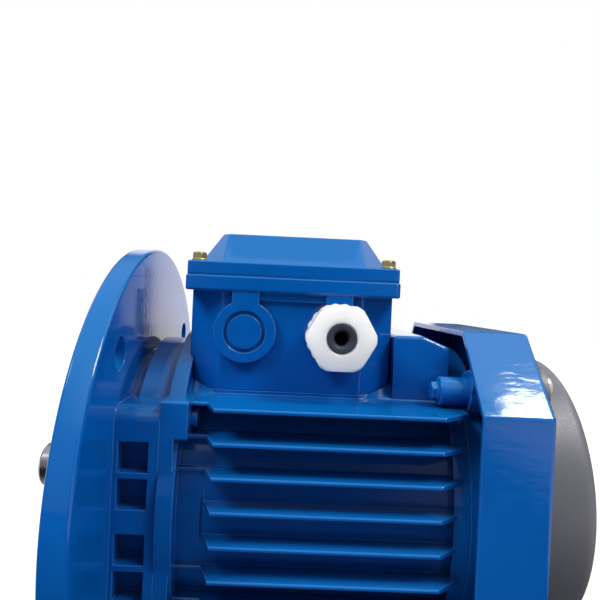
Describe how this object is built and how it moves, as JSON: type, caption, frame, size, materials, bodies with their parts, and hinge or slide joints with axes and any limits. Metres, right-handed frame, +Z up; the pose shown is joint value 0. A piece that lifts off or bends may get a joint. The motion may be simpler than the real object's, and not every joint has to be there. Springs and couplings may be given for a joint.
{
  "type": "three-phase flange motor",
  "caption": "Finned flange-mounted three-phase motor with a keyed shaft, a top terminal box with a cable gland, an octagonal fan cowl and a round fan guard.",
  "frame": {"origin": "centre of the flange's mounting face, on the shaft axis", "axes": "+X along the shaft from the mounting face towards the fan, +Z up towards the terminal box, the cable entry faces -Y"},
  "size_m": [0.225, 0.2, 0.2061],
  "materials": {
    "blue_casting": "gloss enamel on die-cast aluminium",
    "blue_sheet": "gloss enamel on steel",
    "guard_plastic": "satin moulded plastic",
    "white_nylon": "satin nylon",
    "dark_rubber": "matt rubber",
    "bright_steel": "turned or plated steel",
    "brass": "plated brass",
    "lamination": "stacked sheet",
    "copper_winding": "varnished copper wire",
    "cast_aluminium": "as cast",
    "moulded_black": "moulded"
  },
  "bodies": {
    "housing": {"drive_end_shield": "blue_casting", "stator_frame": "blue_casting", "rear_end_shield": "blue_casting", "terminal_box": "blue_casting", "terminal_lid": "blue_casting", "fan_cowl": "blue_sheet", "tie_bolts": "blue_sheet", "tie_washers": "blue_sheet", "drive_end_bolts": "blue_sheet", "fan_guard": "guard_plastic", "gland_body": "white_nylon", "gland_nut": "white_nylon", "gland_locknut": "white_nylon", "gland_seal": "dark_rubber", "lid_gasket": "dark_rubber", "shaft_seal": "dark_rubber", "wave_spring": "bright_steel", "cowl_screws": "bright_steel", "box_screws": "bright_steel", "board_screws": "bright_steel", "drive_bearing_outer": "bright_steel", "fan_bearing_outer": "bright_steel", "lid_screws": "brass", "lid_washers": "brass", "terminal_studs": "brass", "terminal_nuts": "brass", "terminal_links": "brass", "earth_screw": "brass", "stator_core": "lamination", "stator_windings": "copper_winding", "terminal_board": "moulded_black"},
    "rotor": {"rotor_shaft": "bright_steel", "shaft_key": "bright_steel", "rotor_core": "lamination", "rotor_end_rings": "cast_aluminium", "drive_bearing_inner": "bright_steel", "fan_bearing_inner": "bright_steel", "cooling_fan": "moulded_black", "fan_circlip": "bright_steel"},
    "drive_cage": {"drive_bearing_balls": "bright_steel", "drive_bearing_cage": "moulded_black"},
    "fan_cage": {"fan_bearing_balls": "bright_steel", "fan_bearing_cage": "moulded_black"}
  },
  "joints": [
    {"name": "rotor_spin", "type": "hinge", "parent": "housing", "child": "rotor", "pos_m": [0, 0, 0], "axis": [1, 0, 0], "continuous": true},
    {"name": "drive_cage_spin", "type": "hinge", "parent": "housing", "child": "drive_cage", "pos_m": [0, 0, 0], "axis": [1, 0, 0], "continuous": true},
    {"name": "fan_cage_spin", "type": "hinge", "parent": "housing", "child": "fan_cage", "pos_m": [0, 0, 0], "axis": [1, 0, 0], "continuous": true}
  ],
  "couplings": [
    {"joint": "drive_cage_spin", "follows": "rotor_spin", "ratio": 0.3815},
    {"joint": "fan_cage_spin", "follows": "rotor_spin", "ratio": 0.3815}
  ]
}
